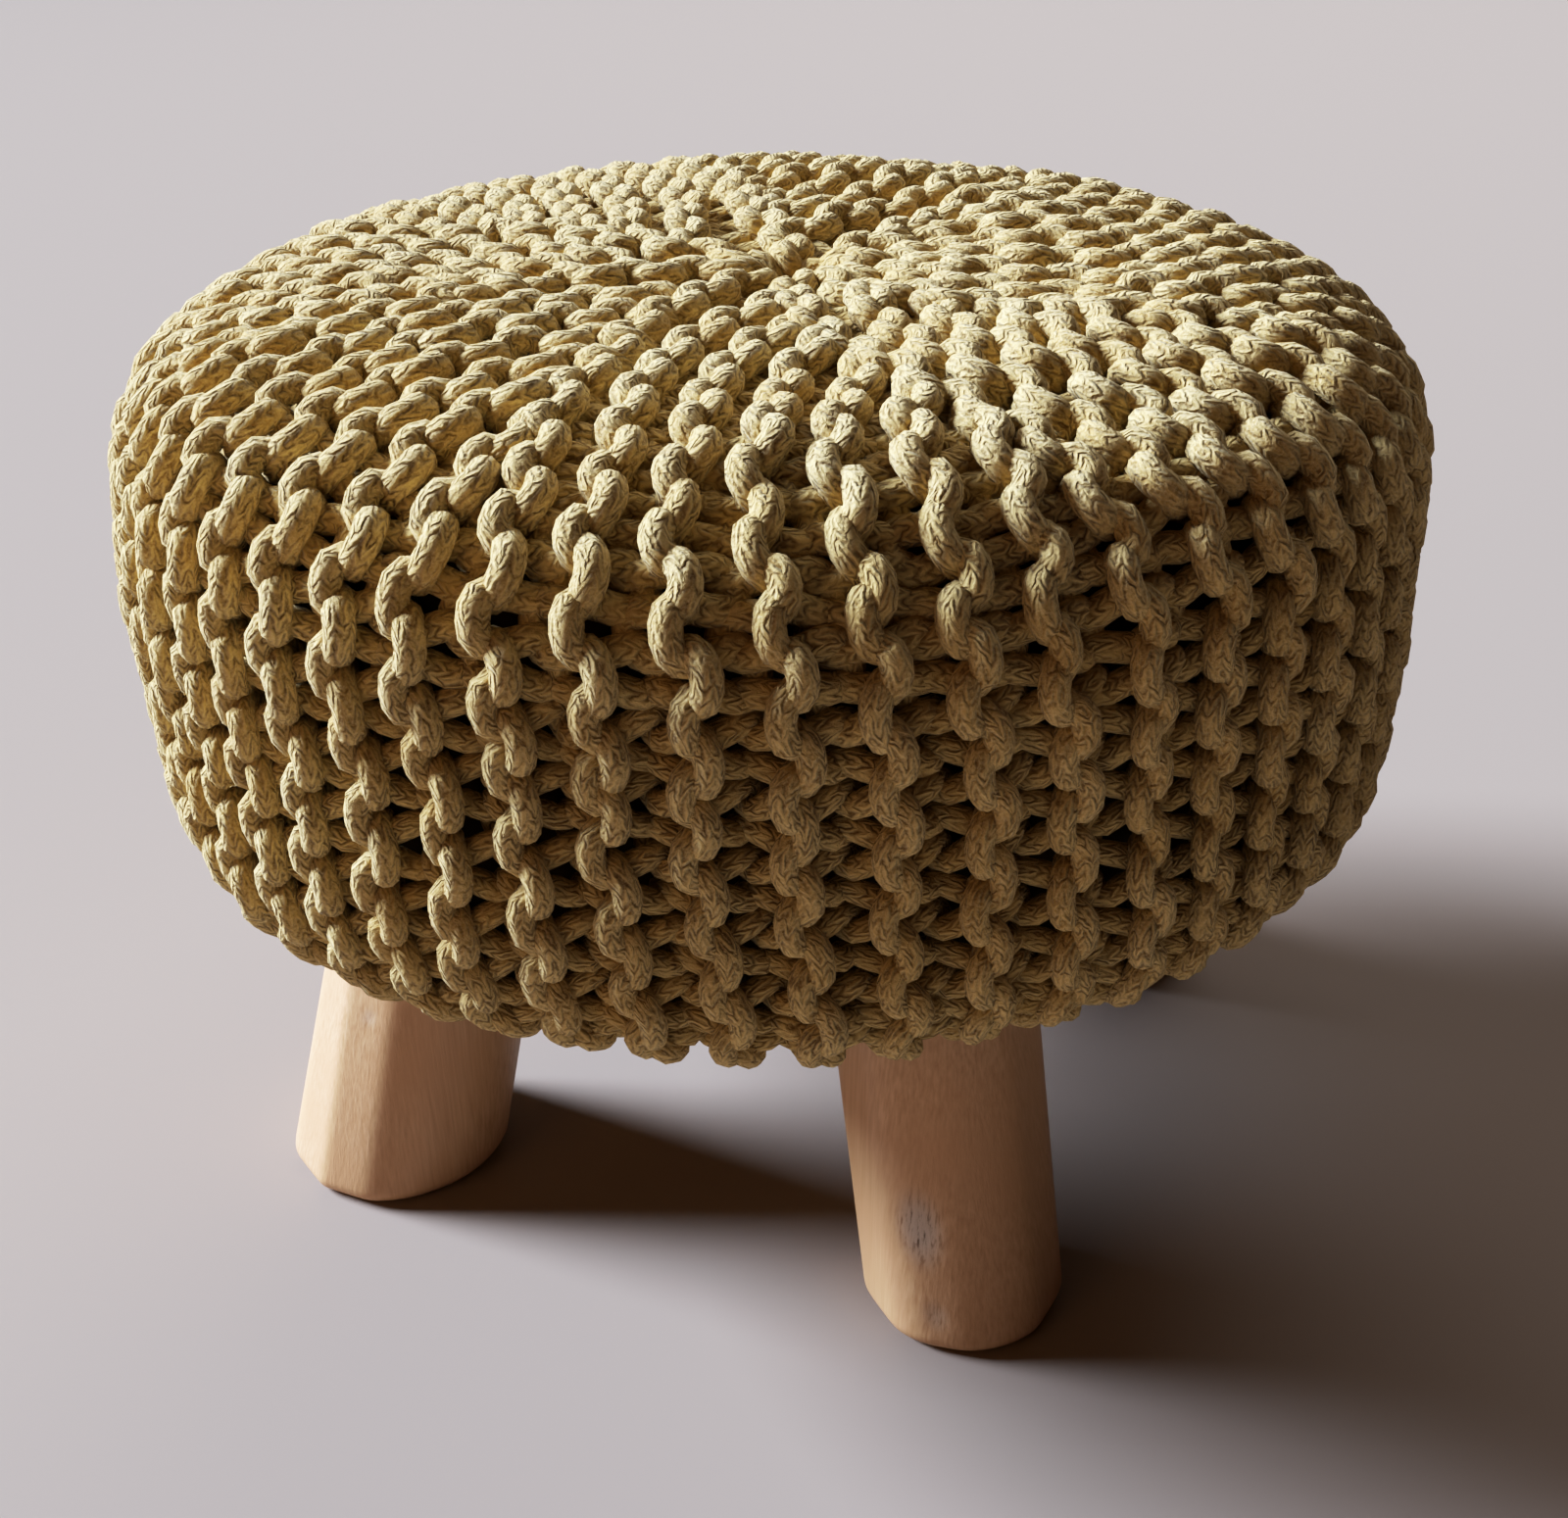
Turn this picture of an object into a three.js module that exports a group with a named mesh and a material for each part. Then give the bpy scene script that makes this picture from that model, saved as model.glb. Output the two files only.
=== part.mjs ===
// Round knitted pouf on four splayed log legs.
// Millimetres, +Z up. The origin is on the floor, under the middle of the pouf.
// The cover is garter knit of thick cotton cord: its rows run from the middle of the crown over the
// shoulder and down the side, so their ridges stand upright on the side and gather on the crown.

import * as THREE from 'three';

const { degToRad, lerp, smoothstep } = THREE.MathUtils;

// Stuffed body, measured to the crests of the ridges
const BODY_RADIUS = 210;
const WIDEST_HEIGHT = 237;
const CROWN_RISE = 69;
const LOWER_DROP = 114.5;
const UNDERSIDE_DROP = 112;
// A higher power squares the outline off: flat crown, full shoulder, upright side
const CROWN_POWER = { radius: 5.92, height: 2.72 };
const LOWER_POWER = { radius: 7.4, height: 7.36 };

// Garter ridges
const RIDGE_COUNT = 54;
const RIDGE_DEPTH = 7;
const RIDGE_HALF_WIDTH = 1 / 3; // of the spacing of two ridges
const COLUMNS_PER_RIDGE = 3;
const CROWN_RADIUS = 0.95 * BODY_RADIUS;
const LOWER_FADE = 26;
const MIDDLE_FADE = { start: 8, end: 40 };
const MIDDLE_SHIFT = new THREE.Vector2(9, -2);
const SIDE_TURN = 3; // degrees by which the ridges lean from the shoulder down to the underside

// The crown is knitted in wedges of short rows. Every ridge of a wedge runs beside the first one and
// stops at the next wedge. before counts the ridges of the earlier wedges, swirl is how far the first
// ridge has turned, in degrees, at the middle, and a higher gather stops the ridges further out.
const FIRST_WEDGE_AZIMUTH = -110;
const SWIRL_POWER = 1.5;
const WEDGES = [
  { before: 0, ridges: 7, swirl: 22, gather: 1.6 },
  { before: 7, ridges: 7, swirl: 33, gather: 1.6 },
  { before: 14, ridges: 10, swirl: 47, gather: 0.85 },
  { before: 24, ridges: 8, swirl: 16, gather: 1.6 },
  { before: 32, ridges: 8, swirl: 14, gather: 1.6 },
  { before: 40, ridges: 7, swirl: 11, gather: 1.6 },
  { before: 47, ridges: 7, swirl: 18, gather: 1.6 },
];

// Rings of points up the body
const SIDE_RINGS = 11;
const CROWN_RINGS = 15;
const OUTLINE_SAMPLES = 160;

// Legs: peeled logs, level at both ends, with a rounded edge at the foot
const LEG_FOOT_DISTANCE = 152;
const LEG_SPLAY = 14.4;
const LEG_SEAT_GAP = 0.3;
const LEG_SIDES = 32;
const LEG_EDGE_RADIUS = 6;
const LEG_EDGE_STEPS = 4;
const LEG_SHAFT_STEPS = 4;
const LEGS = [
  { name: 'leg_front_left', azimuth: -158, footDiameter: 77, topDiameter: 70, oval: 0.02, ovalAzimuth: 40 },
  { name: 'leg_front_right', azimuth: -68, footDiameter: 64, topDiameter: 65, oval: 0.015, ovalAzimuth: 10 },
  { name: 'leg_back_right', azimuth: 24, footDiameter: 70, topDiameter: 66, oval: 0.03, ovalAzimuth: 75 },
  { name: 'leg_back_left', azimuth: 112, footDiameter: 68, topDiameter: 67, oval: 0.02, ovalAzimuth: 120 },
];

const UNDERSIDE_HEIGHT = WIDEST_HEIGHT - UNDERSIDE_DROP;
const RIDGE_ANGLE = (2 * Math.PI) / RIDGE_COUNT;

// A closed solid from rings of equally many points, ordered upwards and anticlockwise seen from above
function ringSolid(rings, lowMiddle, highMiddle) {
  const count = rings[0].length;
  const points = [...rings.flat(), lowMiddle, highMiddle];
  const low = points.length - 2;
  const high = points.length - 1;
  const top = (rings.length - 1) * count;
  const faces = [];
  for (let i = 0; i < count; i += 1) {
    const next = (i + 1) % count;
    faces.push(low, next, i);
    for (let start = 0; start < top; start += count) {
      faces.push(start + i, start + next, start + count + i);
      faces.push(start + next, start + count + next, start + count + i);
    }
    faces.push(high, top + i, top + next);
  }
  const geometry = new THREE.BufferGeometry().setFromPoints(points);
  geometry.setIndex(faces);
  geometry.computeVertexNormals();
  return geometry;
}

// One half of the body's outline as (radius, height): angle 0 is the widest ring, a quarter turn the axis
function outlinePoint(angle, rise, power) {
  const radius = BODY_RADIUS * Math.cos(angle) ** (2 / power.radius);
  const height = WIDEST_HEIGHT + rise * Math.sin(angle) ** (2 / power.height);
  return new THREE.Vector2(radius, height);
}

// Points of the outline from one angle to another
function outlineStretch(fromAngle, toAngle, rise, power) {
  return Array.from({ length: OUTLINE_SAMPLES + 1 }, (_, i) =>
    outlinePoint(lerp(fromAngle, toAngle, i / OUTLINE_SAMPLES), rise, power));
}

// A ridge in section: 1 on its crest, 0 from its foot onwards, with the distance counted in ridges
function ridgeSection(distance) {
  return Math.max(0, 1 - Math.abs(distance) / RIDGE_HALF_WIDTH);
}

// The columns of points around one ring, each with its azimuth and its height on a ridge, 0 to 1.
// Three columns follow each ridge inwards, and once it has stopped they close up against the next wedge.
function ringColumns(radius) {
  const inward = Math.min(1, radius / CROWN_RADIUS);
  const firstEdges = WEDGES.map(({ before, swirl }) =>
    degToRad(FIRST_WEDGE_AZIMUTH - swirl * (1 - inward) ** SWIRL_POWER) + before * RIDGE_ANGLE);
  return WEDGES.flatMap(({ ridges, gather }, k) => {
    const nextEdge = k + 1 < WEDGES.length ? firstEdges[k + 1] : firstEdges[0] + 2 * Math.PI;
    const running = Math.max(1, ridges * Math.sin(inward * (Math.PI / 2)) ** gather);
    const open = running - 0.5;
    return Array.from({ length: ridges * COLUMNS_PER_RIDGE }, (_, i) => {
      const ridge = i / COLUMNS_PER_RIDGE;
      const closed = (ridge - open) / (ridges - open);
      const place = closed > 0 ? open + 0.5 * closed : ridge;
      const crest = closed > 0 ? ridgeSection(running - place) : ridgeSection(ridge - Math.round(ridge));
      return { azimuth: lerp(firstEdges[k], nextEdge, place / running), crest };
    });
  });
}

function poufBody() {
  const flatAngle = Math.asin((UNDERSIDE_DROP / LOWER_DROP) ** (LOWER_POWER.height / 2));
  const shoulderAngle = Math.acos((CROWN_RADIUS / BODY_RADIUS) ** (CROWN_POWER.radius / 2));
  const shoulderHeight = outlinePoint(shoulderAngle, CROWN_RISE, CROWN_POWER).y;
  const side = new THREE.SplineCurve([
    ...outlineStretch(flatAngle, 0, -LOWER_DROP, LOWER_POWER),
    ...outlineStretch(0, shoulderAngle, CROWN_RISE, CROWN_POWER).slice(1),
  ]);
  const crown = new THREE.SplineCurve(outlineStretch(shoulderAngle, Math.PI / 2, CROWN_RISE, CROWN_POWER));

  const stations = [];
  for (let i = 0; i <= SIDE_RINGS; i += 1) {
    stations.push({ curve: side, along: i / SIDE_RINGS });
  }
  for (let i = 1; i <= CROWN_RINGS; i += 1) {
    stations.push({ curve: crown, along: i / (CROWN_RINGS + 1) });
  }

  const rings = stations.map(({ curve, along }) => {
    const place = curve.getPointAt(along);
    const tangent = curve.getTangentAt(along);
    const onCrown = curve === crown;
    const depth = RIDGE_DEPTH
      * smoothstep(place.y, UNDERSIDE_HEIGHT, UNDERSIDE_HEIGHT + LOWER_FADE)
      * (onCrown ? smoothstep(place.x, MIDDLE_FADE.start, MIDDLE_FADE.end) : 1);
    const shift = MIDDLE_SHIFT.clone().multiplyScalar(onCrown ? (1 - place.x / CROWN_RADIUS) ** 2 : 0);
    const drop = onCrown ? 0 : (shoulderHeight - place.y) / (shoulderHeight - UNDERSIDE_HEIGHT);
    const lean = degToRad(SIDE_TURN) * drop;
    return ringColumns(onCrown ? place.x : CROWN_RADIUS).map(({ azimuth, crest }) => {
      const sunk = depth * (1 - crest);
      const radius = place.x - sunk * tangent.y;
      return new THREE.Vector3(
        shift.x + radius * Math.cos(azimuth + lean),
        shift.y + radius * Math.sin(azimuth + lean),
        place.y + sunk * tangent.x,
      );
    });
  });
  const lowMiddle = new THREE.Vector3(0, 0, UNDERSIDE_HEIGHT);
  const highMiddle = new THREE.Vector3(MIDDLE_SHIFT.x, MIDDLE_SHIFT.y, WIDEST_HEIGHT + CROWN_RISE);
  return ringSolid(rings, lowMiddle, highMiddle);
}

function logLeg({ azimuth, footDiameter, topDiameter, oval, ovalAzimuth }) {
  const topHeight = UNDERSIDE_HEIGHT - LEG_SEAT_GAP;
  const lean = Math.tan(degToRad(LEG_SPLAY));
  const middleAt = (height) => {
    const distance = LEG_FOOT_DISTANCE - height * lean;
    const turn = degToRad(azimuth);
    return new THREE.Vector3(distance * Math.cos(turn), distance * Math.sin(turn), height);
  };
  const stations = [];
  for (let i = 0; i <= LEG_EDGE_STEPS; i += 1) {
    const turn = (i / LEG_EDGE_STEPS) * (Math.PI / 2);
    stations.push({
      height: LEG_EDGE_RADIUS * (1 - Math.cos(turn)),
      inset: LEG_EDGE_RADIUS * (1 - Math.sin(turn)),
    });
  }
  for (let i = 1; i <= LEG_SHAFT_STEPS; i += 1) {
    stations.push({ height: lerp(LEG_EDGE_RADIUS, topHeight, i / LEG_SHAFT_STEPS), inset: 0 });
  }
  const rings = stations.map(({ height, inset }) => {
    const middle = middleAt(height);
    const radius = lerp(footDiameter, topDiameter, height / topHeight) / 2;
    return Array.from({ length: LEG_SIDES }, (_, i) => {
      const turn = (i / LEG_SIDES) * 2 * Math.PI;
      const reach = radius * (1 + oval * Math.cos(2 * (turn - degToRad(ovalAzimuth)))) - inset;
      return new THREE.Vector3(middle.x + reach * Math.cos(turn), middle.y + reach * Math.sin(turn), height);
    });
  });
  return ringSolid(rings, middleAt(0), middleAt(topHeight));
}

function namedMesh(name, geometry, look) {
  const mesh = new THREE.Mesh(geometry, new THREE.MeshStandardMaterial({ metalness: 0, ...look }));
  mesh.name = name;
  return mesh;
}

const COTTON_CORD = { color: '#b39a5e', roughness: 0.95 };
const PEELED_WOOD = { color: '#d3a67a', roughness: 0.55 };

const pouf = new THREE.Group();
pouf.add(namedMesh('pouf_body', poufBody(), COTTON_CORD));
for (const leg of LEGS) {
  pouf.add(namedMesh(leg.name, logLeg(leg), PEELED_WOOD));
}

export default pouf;
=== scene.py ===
import math

import bpy
import numpy as np
from mathutils import Matrix, Vector


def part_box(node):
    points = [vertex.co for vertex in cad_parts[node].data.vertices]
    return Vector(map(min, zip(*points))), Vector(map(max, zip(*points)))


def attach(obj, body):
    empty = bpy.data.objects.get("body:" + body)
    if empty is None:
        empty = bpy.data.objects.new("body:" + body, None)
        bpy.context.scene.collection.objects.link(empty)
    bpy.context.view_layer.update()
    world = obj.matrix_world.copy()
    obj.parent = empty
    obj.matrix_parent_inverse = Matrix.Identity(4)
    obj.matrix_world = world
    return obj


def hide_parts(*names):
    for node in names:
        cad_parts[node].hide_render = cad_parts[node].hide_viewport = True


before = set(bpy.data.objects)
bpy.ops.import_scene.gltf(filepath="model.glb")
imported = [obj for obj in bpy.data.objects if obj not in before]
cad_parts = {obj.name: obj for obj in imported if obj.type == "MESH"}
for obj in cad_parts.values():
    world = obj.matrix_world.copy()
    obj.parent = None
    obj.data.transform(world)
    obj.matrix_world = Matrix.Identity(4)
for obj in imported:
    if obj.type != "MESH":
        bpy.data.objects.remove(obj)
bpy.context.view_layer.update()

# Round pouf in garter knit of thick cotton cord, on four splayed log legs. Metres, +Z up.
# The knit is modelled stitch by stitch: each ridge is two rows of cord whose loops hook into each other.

MM = 0.001
TURN = 2 * math.pi

# Body, from the frame: the outline runs over the crests of the knit
BODY_LOW, BODY_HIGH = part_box("pouf_body")
BODY_RADIUS = (BODY_HIGH.x - BODY_LOW.x) / 2
UNDERSIDE_HEIGHT = BODY_LOW.z
CROWN_HEIGHT = BODY_HIGH.z
WIDEST_HEIGHT = UNDERSIDE_HEIGHT + 112 * MM
LOWER_DROP = 114.5 * MM
# A higher power squares the outline off: flat crown, full shoulder, upright side
CROWN_POWER = {"radius": 5.92, "height": 2.72}
LOWER_POWER = {"radius": 7.4, "height": 7.36}
HEM_RADIUS = 150 * MM  # where the knit ends under the pouf
OUTLINE_SAMPLES = 4000  # of each half, before the outline is cut into even steps
OUTLINE_STEP = 0.5 * MM
OUTLINE_SOFTENING = 9 * MM  # rounds the lower edge, where the side meets the flat underside

# Ridges: as many as the body has, gathered on the crown in seven wedges of short rows.
# before counts the ridges of the earlier wedges, swirl is how far the first ridge has turned, in degrees,
# at the middle, and a higher gather stops the ridges further out.
RIDGE_COUNT = 54
RIDGE_ANGLE = TURN / RIDGE_COUNT
CROWN_RADIUS = 0.95 * BODY_RADIUS
MIDDLE_SHIFT = (9 * MM, -2 * MM)
FIRST_WEDGE_AZIMUTH = -110  # degrees
SWIRL_POWER = 1.5
SIDE_TURN = 3  # degrees, by which the ridges lean from the shoulder down to the underside
WEDGES = [
    {"before": 0, "ridges": 7, "swirl": 22, "gather": 1.6},
    {"before": 7, "ridges": 7, "swirl": 33, "gather": 1.6},
    {"before": 14, "ridges": 10, "swirl": 47, "gather": 0.85},
    {"before": 24, "ridges": 8, "swirl": 16, "gather": 1.6},
    {"before": 32, "ridges": 8, "swirl": 14, "gather": 1.6},
    {"before": 40, "ridges": 7, "swirl": 11, "gather": 1.6},
    {"before": 47, "ridges": 7, "swirl": 18, "gather": 1.6},
]
RIDGE_OVERRUN = 0.2  # of a spacing, from the edge of the next wedge to the end of a ridge under it
MIDDLE_RADIUS = 5 * MM  # where the first ridges end
RIDGES_PER_PIECE = 9

# Cord and stitch
CORD_DIAMETER = 7.8 * MM
CORD_SWELL = 0.15  # how much thicker the cord is on the crown, where it is slack
CORD_DRAW = 0.2  # how much thinner it is drawn in the valleys of the side
# Heights in the knit, 0 to 1, up to which the cord is fully drawn and from which it isn't drawn
CORD_DRAWN = {"fully": 0.1, "not": 0.75}
CORD_SIDES = 10
STITCH_LENGTH = 20.0 * MM
STITCH_STEPS = 21
LEVEL_STITCH = -8 * MM  # from the widest ring to the stitches that lie level all round, upwards
ROW_OFFSET = 0.25  # of the spacing of two ridges, from the ridge to each of its rows
RIDGE_HALF_WIDTH = 3.4 * MM  # from the ridge to the middle of the cord where a loop turns
LOOP_SPREAD = 0.2 * STITCH_LENGTH  # how far a loop bellies out past its neck
LOOP_RISE = 7.0 * MM
SLACK_DROP = 25 * MM  # from the widest ring down to where the slack of the crown begins
SLACK_RISE = 0.05  # how much higher the slack loops of the crown stand
SLACK_SPREAD = -0.3  # and how much less they belly out
SLACK_VALLEY = 0.7  # and how much shallower the valleys between them are
MIDDLE_RISE = 0.7  # height of the loops at the middle of the crown, of the others
MIDDLE_REACH = 55 * MM
HEM_RISE = 0.68  # depth of the loops where the knit turns under the pouf, of the others
HEM_REACH = {"start": 38 * MM, "end": 75 * MM}  # from the end of a row
LOOP_ARCH = 0.8 * MM  # keeps the turn of a loop high up to the middle of the ridge, and then drops it
TOP_OF_KNIT = LOOP_RISE + CORD_DIAMETER / 2
END_TUCK = 12 * MM
END_TUCK_LENGTH = 9 * MM
# Slow waves that run over the whole cover, and differences from stitch to stitch
WAVE_COUNT = 10
WAVE_TURNS = 9  # most turns of a wave round the body
WAVE_LENGTHS = {  # shortest and longest, along a ridge
    "along": (50 * MM, 160 * MM), "across": (60 * MM, 160 * MM), "height": (40 * MM, 120 * MM),
}
UNEVEN = {"along": 1.8 * MM, "across": 1.5 * MM, "height": 0.9 * MM}
STITCH_UNEVEN = {"along": 0.6 * MM, "across": 0.45 * MM, "height": 0.5 * MM, "spread": 0.09}
SEED = 11

# Stuffed casing inside the knit, seen only through its gaps and from below. Its cloth is near black, partly
# its own colour and partly painted shade in the gaps.
CASING_DEPTH = TOP_OF_KNIT + 8 * MM  # below the crests
BASE_RADIUS = 143 * MM
BASE_HEIGHT = UNDERSIDE_HEIGHT + 2 * MM
BASE_MIDDLE = 10 * MM  # radius of the last ring of the base
CASING_ROUNDING = 5 * MM
CASING_SAMPLES = 600
CASING_ROW_STEP = 4  # samples from one row of points to the next
CASING_COLUMNS = 96
CASING_COLOUR_AND_GAP_SHADE = "#3a2f1e"

# Legs: peeled logs whose middle lines lean out towards the foot
LEG_FOOT_DISTANCE = 152 * MM
LEG_SPLAY = math.radians(14.4)
LEG_TOP = BASE_HEIGHT + 1 * MM
LEG_EDGE_RADIUS = 6 * MM
LEG_COLUMNS = 120
LEG_EDGE_ROWS = 10
LEG_SHAFT_ROWS = 56
# Azimuth of the leg on the pouf, diameters at foot and top, how oval the log is and in which direction
LEGS = [
    {"name": "leg_front_left", "azimuth": -158,
     "foot": 77 * MM, "top": 70 * MM, "oval": 0.02, "oval_at": 40},
    {"name": "leg_front_right", "azimuth": -68,
     "foot": 64 * MM, "top": 65 * MM, "oval": 0.015, "oval_at": 10},
    {"name": "leg_back_right", "azimuth": 24,
     "foot": 70 * MM, "top": 66 * MM, "oval": 0.03, "oval_at": 75},
    {"name": "leg_back_left", "azimuth": 112,
     "foot": 68 * MM, "top": 67 * MM, "oval": 0.02, "oval_at": 120},
]
FACET_SOFTNESS = 0.45 * MM
FACET_LEAST_FACING = 0.5  # cosine past which a flat reaches no further round the log
# Flats that the drawknife left: azimuth on the log, how deep they cut, and how far they turn up the leg
FACETS = {
    "leg_front_left": [
        {"azimuth": -148, "depth": 1.0 * MM, "turn": -7}, {"azimuth": -119, "depth": 0.9 * MM, "turn": -8},
        {"azimuth": -60, "depth": 0.7 * MM, "turn": 6}, {"azimuth": 10, "depth": 1.2 * MM, "turn": -5},
        {"azimuth": 85, "depth": 1.0 * MM, "turn": 7}, {"azimuth": 150, "depth": 1.3 * MM, "turn": 4},
    ],
    "leg_front_right": [
        {"azimuth": -152, "depth": 0.8 * MM, "turn": 5}, {"azimuth": -104, "depth": 0.6 * MM, "turn": 4},
        {"azimuth": -32, "depth": 1.1 * MM, "turn": -4}, {"azimuth": 30, "depth": 0.8 * MM, "turn": 6},
        {"azimuth": 105, "depth": 1.2 * MM, "turn": -6}, {"azimuth": 165, "depth": 0.7 * MM, "turn": 5},
    ],
    "leg_back_right": [
        {"azimuth": -140, "depth": 0.9 * MM, "turn": 6}, {"azimuth": -75, "depth": 1.2 * MM, "turn": -5},
        {"azimuth": -8, "depth": 0.8 * MM, "turn": 4}, {"azimuth": 48, "depth": 1.4 * MM, "turn": -6},
        {"azimuth": 82, "depth": 0.7 * MM, "turn": -7}, {"azimuth": 150, "depth": 1.0 * MM, "turn": 5},
    ],
    "leg_back_left": [
        {"azimuth": -120, "depth": 1.1 * MM, "turn": -6}, {"azimuth": -52, "depth": 0.8 * MM, "turn": 5},
        {"azimuth": 15, "depth": 1.2 * MM, "turn": 4}, {"azimuth": 70, "depth": 0.9 * MM, "turn": -7},
        {"azimuth": 128, "depth": 1.3 * MM, "turn": 5}, {"azimuth": 178, "depth": 0.8 * MM, "turn": -4},
    ],
}
SCAR_HOLLOW = 0.7 * MM
SCAR_FADE = {"start": 0.2, "end": 1.15}  # of its half sizes
# Grey scars of cut branches: place on the log, half width round it in degrees, half height,
# and how far they show
SCARS = {
    "leg_front_left": [
        {"azimuth": -117, "height": 72 * MM, "half_turn": 6, "half_height": 4 * MM, "strength": 0.3},
    ],
    "leg_front_right": [
        {"azimuth": -113, "height": 43 * MM, "half_turn": 16, "half_height": 15 * MM, "strength": 0.85},
        {"azimuth": -109, "height": 14 * MM, "half_turn": 9, "half_height": 6 * MM, "strength": 0.4},
    ],
    "leg_back_right": [
        {"azimuth": 62, "height": 68 * MM, "half_turn": 12, "half_height": 10 * MM, "strength": 0.7},
    ],
    "leg_back_left": [
        {"azimuth": 95, "height": 38 * MM, "half_turn": 13, "half_height": 12 * MM, "strength": 0.8},
    ],
}

# Braid of the cord
BRAID_CHEVRONS = 6  # round the cord
PLY_SPACING = 3.6 * MM  # along the cord
PLY_LEAN = math.radians(30)
PLY_DEPTH = 0.72 * MM
PLY_ROUNDNESS = 1.5  # a higher power opens the furrow between two plies
PLY_DIVE = 0.4  # how far a ply sinks where its column ends
PLY_WANDER = 5 * MM
PLY_WANDER_SHIFT = 2.4  # plies by which the wander moves them
PLY_GAPS = 3.0 * MM  # length over which the furrow between two plies opens and closes
PLY_CLOSED = 0.75  # height of the cord where the furrow is closed
# Real threads and fuzz are too fine to show, so both are drawn this coarse
FIBRES_PER_PLY = 4
FUZZ_GRAIN = 0.75 * MM
RELIEF = {"ply": 0.25, "fibre": 0.6, "fuzz": 0.5}  # height of single plies, fibres and fuzz, of PLY_DEPTH
DYE_MOTTLE = 28 * MM
# The furrow colour is painted shade in the furrows between plies, and the bloom colour is pale fuzz on the
# knit's crests that is partly painted highlight.
CORD_COLOURS = {
    "furrow_shade": "#6c4a18", "thread": "#dcc080", "dye": "#b58d42", "crest_bloom_and_highlight": "#f0dcae", "sheen": "#efe3bd",
}

# Grain of the wood
GRAIN_WIDTH = 1.1 * MM
GRAIN_LENGTH = 45 * MM
GRAIN_DEPTH = 0.25 * MM
WOOD_PATCH = 38 * MM
WOOD_COLOURS = {
    "grain": "#bb9064", "wood": "#d7b086", "patch": "#c99e72", "scar_grain": "#58463a", "scar": "#c0ae9c",
}

# Camera, matched to the photograph's frame, with angles in degrees
IMAGE_SIZE = (1600, 1549)
CAMERA_PLACE = (0, -625.4 * MM, 474.5 * MM)
CAMERA_PITCH = 29.39
CAMERA_ROLL = -1.35
CAMERA_YAW = 0.21
FOCAL_PIXELS = 2029
SENSOR_WIDTH = 36

# Studio: colours, places in metres, angles in degrees, and the lamps' strengths
FLOOR_REACH = 30.0
FLOOR_DROP = 0.2 * MM  # keeps the floor clear of the feet
FLOOR_COLOUR = "#9e8e80"
KEY_LIGHT = {"azimuth": 160, "elevation": 28, "strength": 18.0, "angle": 24, "colour": "#d0e2ff"}
SOFT_LIGHTS = [
    {"name": "back", "place": (0.6, 2.6, 3.0), "size": 3.0, "power": 95, "colour": "#e8ecf4"},
    {"name": "fill", "place": (-1.9, -1.9, 1.2), "size": 1.4, "power": 7.8, "colour": "#ffc890"},
]
LIGHT_TARGET = (0, 0, 0.2)
SURROUND = {"colour": "#f2a65c", "strength": 0.044}
BACKDROP_COLOUR = "#cfc6bc"
VIEW_GAMMA = 0.82
VIEW_WHITE = 2.0  # the light that shows as white
VIEW_CURVE = [(0.12, 0.12), (0.4, 0.4), (0.7, 0.63), (1.0, 0.77), (1.4, 0.9)]  # light, and how it shows

rng = np.random.default_rng(SEED)


def unit(vectors):
    """Each vector divided by its own length."""
    return vectors / np.linalg.norm(vectors, axis=-1, keepdims=True)


def smoothstep(low, high, value):
    """0 below low, 1 above high, and 3x^2 - 2x^3 in between."""
    x = np.clip((value - low) / (high - low), 0, 1)
    return x * x * (3 - 2 * x)


def linear(hex_colour):
    """An sRGB colour such as '#b39a5e' as linear red, green, blue and alpha."""
    channels = np.array([int(hex_colour[i:i + 2], 16) for i in (1, 3, 5)]) / 255
    curved = ((channels + 0.055) / 1.055) ** 2.4
    return (*np.where(channels <= 0.04045, channels / 12.92, curved), 1.0)


def mesh_object(name, points, quads, triangles=None, corner_uv=None, attributes=None):
    """A smooth mesh object from arrays: points, corners of faces, UVs of corners and point attributes."""
    triangles = np.zeros((0, 3), int) if triangles is None else triangles
    corners = np.concatenate([quads.ravel(), triangles.ravel()])
    starts = np.concatenate([np.arange(len(quads)) * 4, len(quads) * 4 + np.arange(len(triangles)) * 3])
    mesh = bpy.data.meshes.new(name)
    mesh.vertices.add(len(points))
    mesh.vertices.foreach_set("co", points.astype(np.float32).ravel())
    mesh.loops.add(len(corners))
    mesh.loops.foreach_set("vertex_index", corners.astype(np.int32))
    mesh.polygons.add(len(starts))
    mesh.polygons.foreach_set("loop_start", starts.astype(np.int32))
    mesh.polygons.foreach_set("use_smooth", np.ones(len(starts), bool))
    if corner_uv is not None:
        mesh.uv_layers.new(name="cord").data.foreach_set("uv", corner_uv.astype(np.float32).ravel())
    for key, values in (attributes or {}).items():
        layer = mesh.attributes.new(key, "FLOAT", "POINT")
        layer.data.foreach_set("value", values.astype(np.float32).ravel())
    mesh.update(calc_edges=True)
    made = bpy.data.objects.new(name, mesh)
    bpy.context.scene.collection.objects.link(made)
    return made


def grid_quads(rows, columns, closed):
    """Corner numbers of the faces of a grid of points. closed joins the last column to the first."""
    row = np.arange(rows - 1)[:, None]
    column = np.arange(columns if closed else columns - 1)[None, :]
    following = (column + 1) % columns
    corners = [row * columns + column, row * columns + following,
               (row + 1) * columns + following, (row + 1) * columns + column]
    return np.stack(np.broadcast_arrays(*corners), -1).reshape(-1, 4)


def cap_triangles(ring, middle, outward_along_ring):
    """A fan of triangles from a middle point to a ring of points."""
    following = np.roll(ring, -1)
    pair = (ring, following) if outward_along_ring else (following, ring)
    return np.stack([np.full(len(ring), middle), *pair], -1)


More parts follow.
